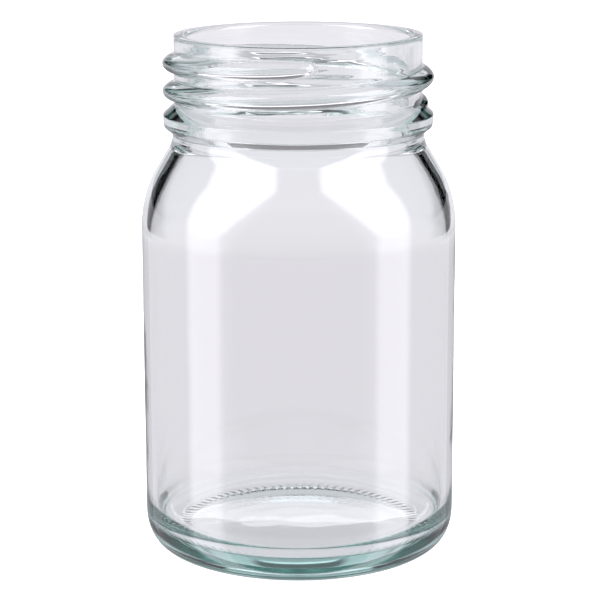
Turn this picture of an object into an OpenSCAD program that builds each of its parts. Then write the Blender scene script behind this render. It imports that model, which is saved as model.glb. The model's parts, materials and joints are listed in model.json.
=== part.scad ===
// Screw-top storage jar, open at the mouth, moulded as one piece of glass.
// Millimetres. The jar stands on z = 0, and its axis is the Z axis.
// The front of the jar, where its thread starts, faces -Y.

/* [Body] */
// Outer diameter of the body
body_d = 80; // [76:0.5:110]
// Height from the resting face to the top of the rim
jar_h = 132.5; // [105:0.5:200]
// Thickness of the glass in the body wall
wall = 2.6; // [1.6:0.1:4]

/* [Base] */
// Thickness of the glass in the middle of the base
base_t = 5.2; // [2:0.1:7]
// Height of the shallow hollow under the middle of the base
push_up = 1; // [0.4:0.1:4]
// Outer diameter of the flat ring that the jar rests on
ring_d = 64.8; // [56:0.2:70]
// Width of that ring
ring_w = 3.4; // [2:0.1:6]
// Height of the rounded heel, from the resting face to the straight wall
heel_h = 10; // [5:0.5:16]
// Fullness of the heel: 2 is an ellipse, and more is squarer
heel_full = 2.3; // [2:0.1:3]
// Radius of the inside corner between the wall and the floor
floor_r = 7; // [3:0.5:10]

/* [Shoulder] */
// Radius of the shoulder's outward curve, outside
shoulder_r = 28; // [12:1:40]
// Radius of the inward curve where the neck meets the shoulder, outside
neck_fillet = 8; // [3:0.5:14]
// Slope of the straight part of the shoulder, in degrees from upright
shoulder_slope = 31; // [24:1:50]
// Radius of the shoulder's outward curve, inside
inner_shoulder_r = 30; // [12:1:40]
// Radius of the inward curve where the neck meets the shoulder, inside
inner_fillet = 3; // [1:0.5:12]
// The inside of the shoulder begins this much lower than the outside, which thickens it
inner_drop = 2.8; // [0:0.1:6]

/* [Neck] */
// Outer diameter of the plain neck, at the root of the thread
neck_d = 62.6; // [60:0.2:66]
// Outer diameter of the neck below the bead
collar_d = 63.6; // [60:0.2:68]
// Diameter of the mouth
mouth_d = 56; // [50:0.5:58]
// Radius that rounds both edges of the rim
rim_r = 1.2; // [0.5:0.1:1.4]
// Distance from the top of the rim to the top of the collar's inward curve
neck_h = 24.6; // [24.5:0.1:30]

/* [Bead] */
// Outer diameter of the bead under the thread
bead_d = 68.4; // [66:0.2:74]
// Height of the bead where it meets the neck
bead_w = 6.8; // [4:0.2:7]
// Distance from the top of the rim to the middle of the bead
bead_drop = 20.7; // [18.5:0.1:21]

/* [Thread] */
// Outer diameter of the thread
thread_d = 68.4; // [65:0.2:72]
// Rise of the thread in one turn
thread_pitch = 7; // [5:0.1:8]
// Length of the thread, in turns
thread_turns = 1.8; // [1:0.05:1.9]
// Height of the thread's ridge where it meets the neck
thread_w = 5; // [3:0.1:6.4]
// Distance from the top of the rim to the thread's crest at the front
thread_drop = 5.3; // [4.6:0.1:7]
// Angle over which the thread fades out at each end
thread_fade = 46; // [15:1:80]

/* [Hidden] */
$fn = 96;
arc_step = 6;
ring_step = 10;
ridge_step = 30;
// The thread's ends and its inner side are sunk this far into the neck
sink = 1;
// The thread begins this far to the right of the front
lead_angle = 6;
glass_tint = [0.62, 0.78, 0.76];

body_r = body_d / 2;
bore_r = body_r - wall;
neck_r = neck_d / 2;
collar_r = collar_d / 2;
mouth_r = mouth_d / 2;
bead_r = bead_d / 2;
ring_r = ring_d / 2;

// Arc about a centre, from one angle to another, as points from its start to its end
function arc(centre, r, from, to) =
    let (steps = max(2, ceil(abs(to - from) / arc_step)))
    [for (i = [0:steps])
        let (a = from + (to - from) * i / steps)
        centre + r * [cos(a), sin(a)]];

// Two curves joined by a straight slope widen the jar by this much:
// both radii shrink together where there is too little width for them
function curve_share(widening, r_top, r_low) =
    min(1, 0.95 * widening / ((r_top + r_low) * (1 - cos(shoulder_slope))));

// Height that such a slope takes up
function slope_drop(widening, r_top, r_low) =
    let (both = (r_top + r_low) * curve_share(widening, r_top, r_low))
    both * sin(shoulder_slope)
    + (widening - both * (1 - cos(shoulder_slope))) / tan(shoulder_slope);

// Points down such a slope, which ends upright at [r, z]
function slope(r, z, widening, r_top, r_low) =
    let (
        share = curve_share(widening, r_top, r_low),
        top = z + slope_drop(widening, r_top, r_low),
        a = r_top * share,
        b = r_low * share
    )
    concat(
        arc([r - widening + a, top], a, 180, 180 + shoulder_slope),
        arc([r - b, z], b, shoulder_slope, 0)
    );

outer_widening = body_r - collar_r;
inner_widening = bore_r - mouth_r;
shoulder_z = jar_h - neck_h - slope_drop(outer_widening, neck_fillet, shoulder_r);
inner_shoulder_z = shoulder_z - inner_drop;

// Rounded bead: a circular arc that rises from the neck
bead_rise = bead_r - neck_r;
bead_arc_r = (pow(bead_w / 2, 2) + pow(bead_rise, 2)) / (2 * bead_rise);
bead_z = jar_h - bead_drop;
bead_reach = asin(bead_w / 2 / bead_arc_r);

// Hollow under the base and the floor inside
floor_z = push_up + base_t;
hollow_r = ring_r - ring_w;
dome_r = (pow(hollow_r, 2) + pow(push_up, 2)) / (2 * push_up);
dome_reach = asin(hollow_r / dome_r);

function heel_point(a) = [
    ring_r + (body_r - ring_r) * pow(cos(a), 2 / heel_full),
    heel_h * (1 - pow(sin(a), 2 / heel_full))
];

function outside() = concat(
    arc([0, push_up - dome_r], dome_r, 90, 90 - dome_reach),
    [for (a = [90:-arc_step:0]) heel_point(a)]
);

function outer_shoulder() =
    slope(body_r, shoulder_z, outer_widening, neck_fillet, shoulder_r);

function bead() =
    arc([bead_r - bead_arc_r, bead_z], bead_arc_r, -bead_reach, bead_reach);

function rim() = concat(
    arc([neck_r - rim_r, jar_h - rim_r], rim_r, 0, 90),
    arc([mouth_r + rim_r, jar_h - rim_r], rim_r, 90, 180)
);

function inside() = concat(
    slope(bore_r, inner_shoulder_z, inner_widening, inner_fillet, inner_shoulder_r),
    arc([bore_r - floor_r, floor_z + floor_r], floor_r, 0, -90),
    [[0, floor_z]]
);

function reversed(points) = [for (i = [len(points) - 1:-1:0]) points[i]];

module glass_body() {
    rotate_extrude()
        polygon(concat(outside(), reversed(outer_shoulder()), bead(), rim(), inside()));
}

// Share of the full ridge at an angle from the thread's upper end
thread_sweep = 360 * thread_turns;
function ridge_share(a) =
    let (end = min(a, thread_sweep - a) / thread_fade)
    end >= 1 ? 1 : sin(90 * max(0, end));

thread_rise = thread_d / 2 - neck_r;
thread_top = jar_h - thread_drop + thread_pitch * lead_angle / 360;

// One cross-section of the ridge: two points sunk in the neck and a half-round crest
function ridge_ring(a) =
    let (
        share = ridge_share(a),
        turn = lead_angle - 90 - a,
        z = thread_top - thread_pitch * a / 360,
        half = thread_w / 2 * (0.4 + 0.6 * share),
        crest = (thread_rise + sink / 2) * share - sink / 2,
        section = concat(
            [[neck_r - sink, z - half]],
            [for (b = [-90:ridge_step:90])
                [neck_r - sink / 2 + (crest + sink / 2) * cos(b), z + half * sin(b)]],
            [[neck_r - sink, z + half]]
        )
    )
    [for (p = section) [p[0] * cos(turn), p[0] * sin(turn), p[1]]];

module thread() {
    rings = ceil(thread_sweep / ring_step);
    n = len(ridge_ring(0));
    points = [for (i = [0:rings]) each ridge_ring(thread_sweep * i / rings)];
    sides = [for (i = [0:rings - 1]) for (j = [0:n - 1])
        let (k = (j + 1) % n)
        each [
            [i * n + j, (i + 1) * n + k, i * n + k],
            [i * n + j, (i + 1) * n + j, (i + 1) * n + k]
        ]];
    top_end = [for (j = [0:n - 1]) j];
    low_end = [for (j = [n - 1:-1:0]) rings * n + j];
    polyhedron(points, concat(sides, [top_end, low_end]));
}

module jar() {
    color(glass_tint)
        union() {
            glass_body();
            thread();
        }
}

jar();
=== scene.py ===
"""Looks of a screw-top glass storage jar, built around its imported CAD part."""
import json
import math

import bmesh
import bpy
from mathutils import Euler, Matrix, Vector


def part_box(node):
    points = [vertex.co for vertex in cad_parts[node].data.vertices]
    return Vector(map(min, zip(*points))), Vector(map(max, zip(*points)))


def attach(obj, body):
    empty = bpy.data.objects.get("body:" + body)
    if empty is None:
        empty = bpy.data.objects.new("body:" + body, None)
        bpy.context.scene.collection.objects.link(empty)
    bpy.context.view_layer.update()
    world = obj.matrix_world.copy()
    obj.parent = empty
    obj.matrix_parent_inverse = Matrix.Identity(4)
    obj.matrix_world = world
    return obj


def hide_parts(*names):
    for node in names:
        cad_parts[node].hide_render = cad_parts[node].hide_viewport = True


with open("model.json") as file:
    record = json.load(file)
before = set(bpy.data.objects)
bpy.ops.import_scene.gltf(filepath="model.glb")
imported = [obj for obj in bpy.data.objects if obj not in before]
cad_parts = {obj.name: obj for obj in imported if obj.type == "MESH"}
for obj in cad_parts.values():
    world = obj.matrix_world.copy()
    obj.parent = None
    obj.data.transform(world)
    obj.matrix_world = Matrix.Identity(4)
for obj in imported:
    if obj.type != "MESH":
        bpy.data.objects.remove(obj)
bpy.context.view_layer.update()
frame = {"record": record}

MM = 0.001
MOUNTS = {mount["name"]: mount for mount in frame["record"]["mounts"]}

# ---- Sizes of the jar, in metres ------------------------------------------------------------

low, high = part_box("jar")
BODY_R = max(high.x - low.x, high.y - low.y) / 2
HEIGHT = high.z
WALL = 2.6 * MM
MOUTH_R = MOUNTS["mouth"]["dims"]["r_mm"] * MM

RING_R = 32.4 * MM
RING_W = 3.4 * MM
PUSH_UP = 1.0 * MM
FLOOR_Z = 6.2 * MM
FLOOR_R = 7 * MM
HEEL_H = 10 * MM
HEEL_FULL = 2.3

# Slopes are measured from upright
SHOULDER_R = 28 * MM
FILLET_R = 8 * MM
SHOULDER_SLOPE = math.radians(31)
INNER_SHOULDER_R = 30 * MM
INNER_FILLET_R = 3 * MM
INNER_DROP = 2.8 * MM

NECK_R = 31.3 * MM
COLLAR_R = 31.8 * MM
COLLAR_Z = HEIGHT - 24.6 * MM
RIM_R = 1.2 * MM

# The bead is straight-sided between rounded corners, and leans out a little towards its top
BEAD_R = 34.2 * MM
BEAD_HALF = 3.4 * MM
BEAD_Z = HEIGHT - 20.7 * MM
BEAD_TOP = BEAD_Z + BEAD_HALF
BEAD_LOW_CORNER = (BEAD_R - 0.2 * MM, BEAD_Z - 0.62 * BEAD_HALF)
BEAD_HIGH_CORNER = (BEAD_R, BEAD_Z + 0.25 * BEAD_HALF)
BEAD_LOW_ROUND = 0.7 * MM
BEAD_HIGH_ROUND = 0.5 * MM
BEAD_NECK_ROUND = 0.4 * MM
BEAD_RUN_OUT = 1 * MM
BEAD_CUT = 0.45 * MM

# The ridge fades out over a share of a turn at each end: its start is the upper end
THREAD_RISE = 2.9 * MM
THREAD_W = 5.0 * MM
THREAD_PITCH = 7 * MM
THREAD_TURNS = 1.8
THREAD_TOP = HEIGHT - 5.2 * MM
THREAD_LEAD = math.radians(6)
THREAD_START = 0.11
THREAD_END = 0.35
THREAD_ROUNDNESS = 0.7

# A bar rises between two cosines of its cycle, and fades over a share of the ring's width at each tip
BARS = 82
BAR_H = 0.16 * MM
BAR_SIDE = (-0.55, 0.9)
BAR_TIP = (0.02, 0.2)
BAR_ZONE = 1.4 * BAR_H

# Columns round the jar: enough to cut every bar, and twice as many where the bars are
COLUMNS = 3 * BARS
RING_COLUMNS = 2 * COLUMNS

# Steps into which each stretch of the profile is cut
CUTS = {
    "hollow": 16, "ring": 14, "heel": 24, "wall": 26, "shoulder": 8, "bead": 5,
    "neck": 84, "rim": 8, "bore": 16, "corner": 12, "floor": 10,
}


# ---- Node trees as expressions --------------------------------------------------------------

class Value:
    """A node's output. Arithmetic on it adds Math nodes to the same tree."""

    def __init__(self, nodes, socket):
        self.nodes = nodes
        self.socket = socket

    def math(self, operation, *others):
        inputs = dict(enumerate((self, *others)))
        return self.nodes.add("ShaderNodeMath", {"operation": operation}, inputs)

    def __add__(self, other):
        return self.math("ADD", other)

    __radd__ = __add__

    def __mul__(self, other):
        return self.math("MULTIPLY", other)

    __rmul__ = __mul__

    def __sub__(self, other):
        return self.math("SUBTRACT", other)

    def __rsub__(self, other):
        return self.nodes.add("ShaderNodeMath", {"operation": "SUBTRACT"}, {0: other, 1: self})

    def __truediv__(self, other):
        return self.math("DIVIDE", other)

    def __pow__(self, other):
        return self.math("POWER", other)

    def __gt__(self, other):
        return self.math("GREATER_THAN", other)

    def __lt__(self, other):
        return self.math("LESS_THAN", other)

    def smooth(self, start, end):
        """0 before start, 1 past end, and a smooth step between them."""
        inputs = {"Value": self, "From Min": start, "From Max": end}
        return self.nodes.add("ShaderNodeMapRange", {"interpolation_type": "SMOOTHSTEP"}, inputs)


class Nodes:
    """Adds nodes to one tree."""

    def __init__(self, tree):
        self.tree = tree

    def add(self, kind, settings=None, inputs=None, out=0):
        node = self.tree.nodes.new(kind)
        for name, value in (settings or {}).items():
            setattr(node, name, value)
        for name, value in (inputs or {}).items():
            if isinstance(value, Value):
                self.tree.links.new(value.socket, node.inputs[name])
            else:
                node.inputs[name].default_value = value
        return Value(self, node.outputs[out]) if node.outputs else None

    def xyz(self, vector):
        parts = self.add("ShaderNodeSeparateXYZ", None, {"Vector": vector})
        return [Value(self, output) for output in parts.socket.node.outputs]

    def vector(self, x, y, z):
        return self.add("ShaderNodeCombineXYZ", None, {"X": x, "Y": y, "Z": z})

    def noise(self, vector, scale, detail):
        return self.add("ShaderNodeTexNoise", None, {"Vector": vector, "Scale": scale, "Detail": detail})

    def blend(self, share, near, far):
        """A colour between two others. Sockets 6, 7 and 2 are a Mix node's colours."""
        return self.add("ShaderNodeMix", {"data_type": "RGBA"}, {0: share, 6: near, 7: far}, out=2)


def blank_nodes(owner):
    """The emptied node tree of a material or a world."""
    owner.use_nodes = True
    owner.node_tree.nodes.clear()
    return Nodes(owner.node_tree)


# ---- Profile of the glass -------------------------------------------------------------------

def arc(centre, radius, start, end, steps):
    """Points (r, z) along an arc, with both its ends."""
    turns = [start + (end - start) * i / steps for i in range(steps + 1)]
    return [(centre[0] + radius * math.cos(a), centre[1] + radius * math.sin(a)) for a in turns]


def straight(start, end, steps):
    """Points (r, z) between two points, without either of them."""
    shares = [i / steps for i in range(1, steps)]
    return [(start[0] + (end[0] - start[0]) * t, start[1] + (end[1] - start[1]) * t) for t in shares]


def rounded(corners, steps, cut):
    """Points (r, z) along straight sides, about a cut apart, with each corner rounded.

    Corners are ((r, z), radius).
    """
    points = [corners[0][0]]
    for (before, _), (corner, radius), (after, _) in zip(corners, corners[1:], corners[2:]):
        middle = Vector(corner)
        back = (Vector(before) - middle).normalized()
        on = (Vector(after) - middle).normalized()
        reach = radius / math.tan(back.angle(on) / 2)
        start, end = middle + back * reach, middle + on * reach
        for i in range(steps + 1):
            t = i / steps
            bend = start * (1 - t) ** 2 + middle * 2 * t * (1 - t) + end * t ** 2
            points.append((bend.x, bend.y))
    points.append(corners[-1][0])
    dense = [points[0]]
    for a, b in zip(points, points[1:]):
        pieces = max(1, round(math.dist(a, b) / cut))
        dense += straight(a, b, pieces) + [b]
    return dense


def slope_drop(widening, both):
    """Height that a slope takes up, where both is the sum of its two radii."""
    bent = both * (1 - math.cos(SHOULDER_SLOPE))
    return both * math.sin(SHOULDER_SLOPE) + (widening - bent) / math.tan(SHOULDER_SLOPE)


def slope(r, z, widening, r_top, r_low):
    """Down from a neck to the upright wall at (r, z): two curves and the straight slope between them."""
    steps = CUTS["shoulder"]
    top_centre = (r - widening + r_top, z + slope_drop(widening, r_top + r_low))
    upper = arc(top_centre, r_top, math.pi, math.pi + SHOULDER_SLOPE, steps)
    lower = arc((r - r_low, z), r_low, SHOULDER_SLOPE, 0, 2 * steps)
    return upper + straight(upper[-1], lower[0], steps) + lower


def heel():
    """From the resting ring round to the upright wall."""
    steps = CUTS["heel"]
    points = []
    for i in range(steps + 1):
        a = math.pi / 2 * (1 - i / steps)
        out = math.cos(a) ** (2 / HEEL_FULL) if i else 0
        up = 1 - math.sin(a) ** (2 / HEEL_FULL)
        points.append((RING_R + (BODY_R - RING_R) * out, BAR_H + (HEEL_H - BAR_H) * up))
    return points


def base():
    """Two runs of points (r, z): the hollow under the base, and the resting ring round it."""
    hollow_r = RING_R - RING_W
    rise = PUSH_UP - BAR_H
    dome_r = (hollow_r ** 2 + rise ** 2) / (2 * rise)
    upright = math.pi / 2
    edge = upright - math.asin(hollow_r / dome_r)
    hollow = arc((0, PUSH_UP - dome_r), dome_r, upright, edge, CUTS["hollow"])
    ring = straight(hollow[-1], (RING_R, BAR_H), CUTS["ring"])
    return hollow[1:], ring


def outside(shoulder_z):
    """Points (r, z) from the resting ring up to the root of the rim."""
    wall = straight((BODY_R, HEEL_H), (BODY_R, shoulder_z), CUTS["wall"])
    shoulder = slope(BODY_R, shoulder_z, BODY_R - COLLAR_R, FILLET_R, SHOULDER_R)[:0:-1]
    bead_corners = [
        ((COLLAR_R, COLLAR_Z), 0),
        (BEAD_LOW_CORNER, BEAD_LOW_ROUND),
        (BEAD_HIGH_CORNER, BEAD_HIGH_ROUND),
        ((NECK_R, BEAD_TOP), BEAD_NECK_ROUND),
        ((NECK_R, BEAD_TOP + BEAD_RUN_OUT), 0),
    ]
    bead = rounded(bead_corners, CUTS["bead"], BEAD_CUT)
    neck = straight(bead[-1], (NECK_R, HEIGHT - RIM_R), CUTS["neck"])
    return heel() + wall + shoulder + bead + neck


def rim():
    """Points (r, z) over the top, with both edges rounded and the flat land between them."""
    top = math.pi / 2
    outer_edge = arc((NECK_R - RIM_R, HEIGHT - RIM_R), RIM_R, 0, top, CUTS["rim"])
    inner_edge = arc((MOUTH_R + RIM_R, HEIGHT - RIM_R), RIM_R, top, math.pi, CUTS["rim"])
    return outer_edge + inner_edge


def inside(shoulder_z):
    """Points (r, z) from under the rim down to the middle of the floor."""
    bore_r = BODY_R - WALL
    inner_z = shoulder_z - INNER_DROP
    corner_z = FLOOR_Z + FLOOR_R
    shoulder = slope(bore_r, inner_z, bore_r - MOUTH_R, INNER_FILLET_R, INNER_SHOULDER_R)
    mouth = straight((MOUTH_R, HEIGHT - RIM_R), shoulder[0], CUTS["bore"])
    wall = straight((bore_r, inner_z), (bore_r, corner_z), CUTS["wall"])
    corner = arc((bore_r - FLOOR_R, corner_z), FLOOR_R, 0, -math.pi / 2, CUTS["corner"])
    floor = straight((bore_r - FLOOR_R, FLOOR_Z), (0, FLOOR_Z), CUTS["floor"])
    return mouth + shoulder + wall + corner + floor


def revolve(name, runs, pole_low, pole_high):
    """A closed mesh turned about Z, from runs of (points, columns).

    Columns may double or halve from one run to the next.
    """
    shape = bmesh.new()
    rings = []
    for points, columns in runs:
        for r, z in points:
            turns = [math.tau * i / columns for i in range(columns)]
            rings.append([shape.verts.new((r * math.sin(a), -r * math.cos(a), z)) for a in turns])
    first = shape.verts.new((0, 0, pole_low))
    last = shape.verts.new((0, 0, pole_high))
    for a, b in zip(rings, rings[1:]):
        join_rings(shape, a, b)
    for i, vert in enumerate(rings[0]):
        shape.faces.new((first, rings[0][(i + 1) % len(rings[0])], vert))
    for i, vert in enumerate(rings[-1]):
        shape.faces.new((last, vert, rings[-1][(i + 1) % len(rings[-1])]))
    bmesh.ops.recalc_face_normals(shape, faces=shape.faces)
    mesh = bpy.data.meshes.new(name)
    shape.to_mesh(mesh)
    shape.free()
    return mesh


def join_rings(shape, a, b):
    """Faces between two rings whose columns are equal, or two to one."""
    n = len(a)
    if n == len(b):
        for i in range(n):
            j = (i + 1) % n
            shape.faces.new((a[i], a[j], b[j], b[i]))
        return
    few, many = (a, b) if n < len(b) else (b, a)
    for i, vert in enumerate(few):
        after = few[(i + 1) % len(few)]
        fine = [many[(2 * i + k) % len(many)] for k in range(3)]
        shape.faces.new((vert, fine[0], fine[1]))
        shape.faces.new((vert, fine[1], after))
        shape.faces.new((after, fine[1], fine[2]))


# ---- Moulding: thread, knurled ring and the unevenness of the glass ---------------------------

MOULD_SIZES = {
    "Thread Rise": THREAD_RISE,
    "Thread Width": THREAD_W,
    "Thread Pitch": THREAD_PITCH,
    "Thread Turns": THREAD_TURNS,
    "Thread Top": THREAD_TOP,
    "Neck Radius": NECK_R,
    "Mouth Radius": MOUTH_R,
    "Bead Height": BEAD_Z,
    "Bars": BARS,
    "Bar Height": BAR_H,
    "Ring Radius": RING_R,
    "Ring Width": RING_W,
    "Inner Waviness": 0.12 * MM,
    "Outer Waviness": 0.04 * MM,
    "Neck Streaks": 0.06 * MM,
}

# Noise runs from 0 to 1 about its middle. Scales are in cycles to the metre.
NOISE_MIDDLE = 0.5
MOULD_DETAIL = 1.0
WAVE_SCALE = 28.0
WAVES_TOP = (HEIGHT - 20 * MM, HEIGHT - 40 * MM)
WAVES_LOW = (3 * MM, 16 * MM)
STREAK_SCALE = 800.0
STREAK_STRETCH = 0.06
STREAKS_TOP = (HEIGHT - 0.6 * MM, HEIGHT - 2 * MM)
STREAKS_LOW = (COLLAR_Z, COLLAR_Z + 2 * MM)

# The radius is never nearer to nothing than this, because it divides
LEAST_RADIUS = 1e-6


def mould_tree(material):
    """Geometry Nodes that raise the thread and the bars on a plain turned jar."""
    tree = bpy.data.node_groups.new("jar_mould", "GeometryNodeTree")
    tree.interface.new_socket("Geometry", in_out="INPUT", socket_type="NodeSocketGeometry")
    for name in MOULD_SIZES:
        tree.interface.new_socket(name, in_out="INPUT", socket_type="NodeSocketFloat")
    tree.interface.new_socket("Geometry", in_out="OUTPUT", socket_type="NodeSocketGeometry")
    nodes = Nodes(tree)
    group = tree.nodes.new("NodeGroupInput")
    size = {output.name: Value(nodes, output) for output in group.outputs if output.name}

    place = nodes.add("GeometryNodeInputPosition")
    x, y, z = nodes.xyz(place)
    r = (x * x + y * y).math("SQRT").math("MAXIMUM", LEAST_RADIUS)
    bearing = x.math("ARCTAN2", y * -1)

    # Height of the ridge over the neck: one copy for each turn that passes a point
    first_turn = ((THREAD_LEAD - bearing) / math.tau).math("WRAP", 1.0, 0.0)
    ridge = None
    for lap in range(math.ceil(THREAD_TURNS)):
        turn = first_turn + lap
        ends = (turn / THREAD_START).math("MINIMUM", (size["Thread Turns"] - turn) / THREAD_END)
        short = 1 - ends.math("MINIMUM", 1.0).math("MAXIMUM", 0.0)
        share = (1 - short * short).math("SQRT")
        off = (z - (size["Thread Top"] - size["Thread Pitch"] * turn)) / (size["Thread Width"] / 2)
        crest = (share - off * off).math("MAXIMUM", 0.0) ** THREAD_ROUNDNESS * size["Thread Rise"]
        ridge = crest if ridge is None else ridge.math("MAXIMUM", crest)
    outer = r > (size["Mouth Radius"] + size["Neck Radius"]) / 2
    on_thread = outer * (z > size["Bead Height"])
    threaded = r.math("MAXIMUM", size["Neck Radius"] + ridge) * on_thread + r * (1 - on_thread)

    # Unevenness of the body: more on the inside, which no mould touches
    waves = nodes.noise(place, WAVE_SCALE, MOULD_DETAIL) - NOISE_MIDDLE
    on_body = z.smooth(*WAVES_TOP) * z.smooth(*WAVES_LOW)
    inner = r < BODY_R - WALL / 2
    uneven = inner * size["Inner Waviness"] + (1 - inner) * size["Outer Waviness"]
    widened = threaded + waves * uneven * on_body * 2

    # Fine level streaks round the outside of the neck, left by its mould
    stretched = nodes.vector(x * STREAK_STRETCH, y * STREAK_STRETCH, z)
    streaks = nodes.noise(stretched, STREAK_SCALE, MOULD_DETAIL) - NOISE_MIDDLE
    on_neck = z.smooth(*STREAKS_LOW) * z.smooth(*STREAKS_TOP) * outer
    widened = widened + streaks * on_neck * size["Neck Streaks"]

    # Bars under the resting ring
    wave = (bearing * size["Bars"]).math("COSINE").smooth(*BAR_SIDE)
    across = (r - (size["Ring Radius"] - size["Ring Width"])) / size["Ring Width"]
    along = across.smooth(*BAR_TIP) * (1 - across).smooth(*BAR_TIP)
    drop = wave * along * (z < BAR_ZONE) * size["Bar Height"]

    stretch = widened / r
    moved = nodes.vector(x * stretch, y * stretch, z - drop)
    shape = nodes.add("GeometryNodeSetPosition", None, {"Geometry": size["Geometry"], "Position": moved})
    shape = nodes.add("GeometryNodeSetShadeSmooth", None, {"Geometry": shape})
    shape = nodes.add("GeometryNodeRealizeInstances", None, {"Geometry": shape})
    shape = nodes.add("GeometryNodeSetMaterial", None, {"Geometry": shape, "Material": material})
    nodes.add("NodeGroupOutput", None, {"Geometry": shape})
    return tree


def jar_piece(material):
    """The whole jar as one closed mesh, turned and then moulded."""
    shoulder_z = COLLAR_Z - slope_drop(BODY_R - COLLAR_R, FILLET_R + SHOULDER_R)
    hollow, ring = base()
    upper = outside(shoulder_z) + rim() + inside(shoulder_z)
    runs = [(hollow, COLUMNS), (ring, RING_COLUMNS), (upper, COLUMNS)]
    blank = bpy.data.objects.new("jar_blank", revolve("jar_blank", runs, PUSH_UP, FLOOR_Z))
    bpy.context.collection.objects.link(blank)
    mould = blank.modifiers.new("mould", "NODES")
    mould.node_group = mould_tree(material)
    for item in mould.node_group.interface.items_tree:
        if item.in_out == "INPUT" and item.name in MOULD_SIZES:
            mould[item.identifier] = float(MOULD_SIZES[item.name])
    depsgraph = bpy.context.evaluated_depsgraph_get()
    mesh = bpy.data.meshes.new_from_object(blank.evaluated_get(depsgraph))
    bpy.data.objects.remove(blank)
    mesh.name = "glass_jar"
    jar = bpy.data.objects.new("glass_jar", mesh)
    bpy.context.collection.objects.link(jar)
    return jar


# ---- Glass ----------------------------------------------------------------------------------

# The glass takes more red than green or blue from what passes through it
GLASS_IOR = 1.52
GLASS_TINT = (0.27, 0.57, 0.53, 1)
GLASS_DENSITY = 18.0
SURFACE_DETAIL = 2.0
SCUFFS = (0.2 * MM, 1.2 * MM)
SCUFF_SCALE = 900.0
SCUFF_SPECKS = (0.35, 0.75)
SCUFF_ROUGHNESS = 0.18
RIPPLE_SCALE = 60.0
RIPPLE_STRENGTH = 0.06
RIPPLE_DEPTH = 1 * MM


def glass():
    """Clear fire-polished glass, lightly scuffed where it rests."""
    material = bpy.data.materials.new("clear_bottle_glass")
    nodes = blank_nodes(material)
    place = nodes.add("ShaderNodeTexCoord", out="Object")
    z = nodes.xyz(place)[2]
    scuffed = 1 - z.smooth(*SCUFFS)
    specks = nodes.noise(place, SCUFF_SCALE, SURFACE_DETAIL)
    ripple = nodes.noise(place, RIPPLE_SCALE, SURFACE_DETAIL)
    surface = nodes.add("ShaderNodeBump", None, {
        "Strength": RIPPLE_STRENGTH, "Distance": RIPPLE_DEPTH, "Height": ripple})
    shader = nodes.add("ShaderNodeBsdfPrincipled", None, {
        "Base Color": (1, 1, 1, 1), "Roughness": scuffed * specks.smooth(*SCUFF_SPECKS) * SCUFF_ROUGHNESS,
        "IOR": GLASS_IOR, "Transmission Weight": 1.0, "Normal": surface})
    body = nodes.add("ShaderNodeVolumeAbsorption", None, {"Color": GLASS_TINT, "Density": GLASS_DENSITY})
    nodes.add("ShaderNodeOutputMaterial", None, {"Surface": shader, "Volume": body})
    return material


# ---- Stage ----------------------------------------------------------------------------------

# The lit floor lies just under the white one and is lighter far from the jar: its glow carries painted
# shade near the jar
FLOOR_SIDES = 96
WHITE_FLOOR_R = 6.0
WHITE_SHADE = (0.8, 0.8, 0.8, 1)
WHITE_ROUGHNESS = 0.9
WHITE_GLOW = 0.85
LIT_FLOOR_R = 0.85
LIT_FLOOR_DROP = 0.0002
LIT_NEAR_PAINTED_SHADE = (0.80, 0.765, 0.815, 1)
LIT_FAR = (0.90, 0.87, 0.92, 1)
LIT_CHANGE = (0.34, 0.62)


def add_floor(name, radius, drop, material):
    bpy.ops.mesh.primitive_circle_add(
        vertices=FLOOR_SIDES, radius=radius, fill_type="NGON", location=(0, 0, -drop))
    floor = bpy.context.object
    floor.name = name
    floor.data.materials.append(material)
    floor.visible_shadow = False
    return floor


def white_floor():
    """What the camera sees under and behind the jar."""
    material = bpy.data.materials.new("white_floor")
    material.use_nodes = True
    shader = material.node_tree.nodes["Principled BSDF"]
    shader.inputs["Base Color"].default_value = WHITE_SHADE
    shader.inputs["Roughness"].default_value = WHITE_ROUGHNESS
    shader.inputs["Emission Color"].default_value = (1, 1, 1, 1)
    shader.inputs["Emission Strength"].default_value = WHITE_GLOW
    floor = add_floor("floor", WHITE_FLOOR_R, 0, material)
    floor.visible_glossy = False
    floor.visible_transmission = False
    floor.visible_diffuse = False


def lit_floor():
    """The soft light that comes up through the glass, and that nothing else sees."""
    material = bpy.data.materials.new("lit_floor")
    nodes = blank_nodes(material)
    x, y, _ = nodes.xyz(nodes.add("ShaderNodeTexCoord", out="Object"))
    away = (x * x + y * y).math("SQRT").smooth(*LIT_CHANGE)
    # Painted shade: the glowing floor is darker near the jar and lighter far from it
    shade = nodes.blend(away, LIT_NEAR_PAINTED_SHADE, LIT_FAR)
    light = nodes.add("ShaderNodeEmission", None, {"Color": shade, "Strength": 1.0})
    nodes.add("ShaderNodeOutputMaterial", None, {"Surface": light})
    material.cycles.emission_sampling = "NONE"
    floor = add_floor("lit_floor", LIT_FLOOR_R, LIT_FLOOR_DROP, material)
    floor.visible_camera = False
    floor.visible_glossy = False
    floor.visible_diffuse = False


# Studio, the same on both sides. Bearings are degrees from straight behind the jar, and rises are
# degrees over the horizon. A pair is where a change begins and where it is complete.
HORIZON = (-1, 0.5)
COOLNESS = (1, 0.97, 1.03)

# Back wall: narrower over the horizon, dim at its foot and in its upper parts, with a bright line
BACKDROP_END = 36
BACKDROP_EDGE = 1.5
BACKDROP_LEVEL = 0.90
NARROWING = 16
NARROWING_RISE = (-1, 2)
FOOT_SHADE = 0.45
FOOT_RISE = (-12, -9)
UPPER_SHADE = 0.3
UPPER_RISE = (3, 8)
TOP_SHADE = 0.35
TOP_RISE = (18, 20)
LINE_LEVEL = 1.25
LINE_START = (14.6, 15.4)
LINE_END = (18.6, 18.8)

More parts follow.
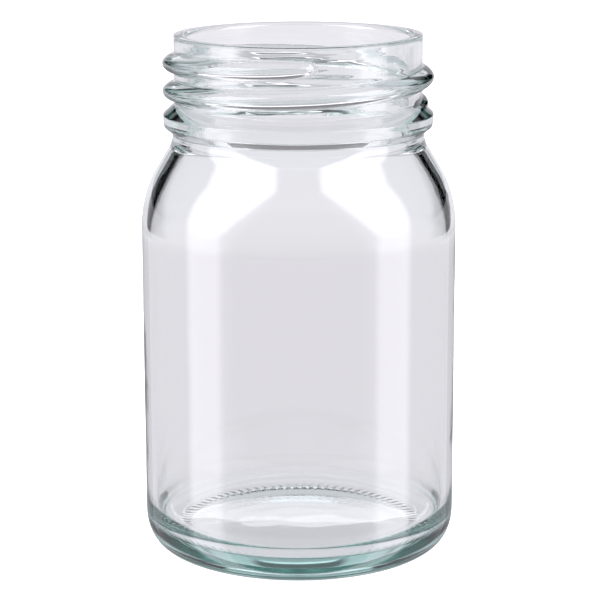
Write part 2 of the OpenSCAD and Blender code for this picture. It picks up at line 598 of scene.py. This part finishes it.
# Room beyond the dark gaps beside the back wall, dim in front except high up
GAP_END = (58, 74)
GAP_LEAN = 1.2
ROOM_LEVEL = 0.75
FRONT_SHADE = 0.4
FRONT_LIFT = 0.3
FRONT_LIFT_RISE = (-5, 15)

# Softboxes: they lean forward as they rise, and are dimmed where the light has passed through glass
SOFTBOX_START = (88, 97)
SOFTBOX_END = 126
SOFTBOX_EDGE = (-9, 0)
SOFTBOX_LEAN = 0.7
SOFTBOX_TOP = (50, 53)
SOFTBOX_LEVEL = 3.0
SOFTBOX_LIFT = 2.5
SOFTBOX_LIFT_RISE = (-6, 8)
SOFTBOX_DIMMING = 0.85
FRONT_START = (SOFTBOX_END, SOFTBOX_END + 8)

CEILING_LEVEL = 0.8
CEILING_RISE = (52, 64)

# Two lit patches high on the back wall
WING_LEVEL = 0.8
WING_START = (10, 14)
WING_END = (26, 31)
WING_RISE = (15, 19)


def back_wall(rise):
    line = rise.smooth(*LINE_START) * (1 - rise.smooth(*LINE_END))
    foot = 1 - rise.smooth(*FOOT_RISE)
    level = BACKDROP_LEVEL - FOOT_SHADE * foot - UPPER_SHADE * rise.smooth(*UPPER_RISE)
    return level - TOP_SHADE * rise.smooth(*TOP_RISE) + LINE_LEVEL * line


def room(bearing, rise):
    above = rise.smooth(*HORIZON)
    past_gap = (bearing + rise * GAP_LEAN).smooth(*GAP_END) * above + (1 - above)
    front = bearing.smooth(*FRONT_START)
    lift = FRONT_LIFT * front * rise.smooth(*FRONT_LIFT_RISE)
    return past_gap * (ROOM_LEVEL - FRONT_SHADE * front + lift)


def softboxes(bearing, rise, passed_glass):
    end = SOFTBOX_END + rise.math("MAXIMUM", 0.0) * SOFTBOX_LEAN
    across = bearing.smooth(*SOFTBOX_START) * (1 - (bearing - end).smooth(*SOFTBOX_EDGE))
    panel = across * (1 - rise.smooth(*SOFTBOX_TOP))
    level = SOFTBOX_LEVEL + SOFTBOX_LIFT * rise.smooth(*SOFTBOX_LIFT_RISE)
    return panel * level * (1 - SOFTBOX_DIMMING * passed_glass)


def studio_world():
    """White for the camera, and for the glass a studio with a back wall and two tall softboxes."""
    world = bpy.data.worlds.new("studio")
    bpy.context.scene.world = world
    nodes = blank_nodes(world)
    x, y, z = nodes.xyz(nodes.add("ShaderNodeTexCoord", out="Generated"))
    degrees = 180 / math.pi
    bearing = x.math("ARCTAN2", y).math("ABSOLUTE") * degrees
    rise = z.math("ARCSINE") * degrees
    seen = nodes.add("ShaderNodeLightPath", out="Is Camera Ray")
    passed_glass = nodes.add("ShaderNodeLightPath", out="Is Transmission Ray")

    backdrop_end = BACKDROP_END - NARROWING * rise.smooth(*NARROWING_RISE)
    behind = 1 - (bearing - backdrop_end).smooth(0, BACKDROP_EDGE)
    ceiling = CEILING_LEVEL * rise.smooth(*CEILING_RISE)
    wings = bearing.smooth(*WING_START) * (1 - bearing.smooth(*WING_END)) * rise.smooth(*WING_RISE)
    level = behind * back_wall(rise) + (1 - behind) * room(bearing, rise)
    level = level + softboxes(bearing, rise, passed_glass) + ceiling + WING_LEVEL * wings

    tint = nodes.vector(*[level * share for share in COOLNESS])
    white = nodes.add("ShaderNodeBackground", None, {"Color": (1, 1, 1, 1), "Strength": 1.0})
    studio = nodes.add("ShaderNodeBackground", None, {"Color": tint, "Strength": 1.0})
    both = nodes.add("ShaderNodeMixShader", None, {0: seen, 1: studio, 2: white})
    nodes.add("ShaderNodeOutputWorld", None, {"Surface": both})


# The lens looks down a little at the jar from in front of it. Angles are in degrees.
CAMERA_DISTANCE = 14.08 * BODY_R
CAMERA_HEIGHT = 4.823 * BODY_R
CAMERA_TILT = 12.89
CAMERA_TURN = -0.03
CAMERA_ROLL = -0.15
LENS = 134.7
SENSOR = 36
NEAREST = 0.01


def add_camera():
    data = bpy.data.cameras.new("camera")
    data.lens = LENS
    data.sensor_width = SENSOR
    data.clip_start = NEAREST
    camera = bpy.data.objects.new("camera", data)
    camera.location = (0, -CAMERA_DISTANCE, CAMERA_HEIGHT)
    tilt = Euler((math.radians(90 - CAMERA_TILT), 0, math.radians(CAMERA_TURN))).to_matrix()
    roll = Euler((0, 0, math.radians(CAMERA_ROLL))).to_matrix()
    camera.rotation_euler = (tilt @ roll).to_euler()
    bpy.context.collection.objects.link(camera)
    bpy.context.scene.camera = camera


# ---- Build ----------------------------------------------------------------------------------

add_camera()
studio_world()
white_floor()
lit_floor()

jar = jar_piece(glass())
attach(jar, "root")
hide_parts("jar")

# Light passes many faces of glass on its way, so it may bend and bounce often
scene = bpy.context.scene
scene.view_settings.view_transform = "Standard"
scene.cycles.max_bounces = 32
scene.cycles.transmission_bounces = 32
scene.cycles.glossy_bounces = 16
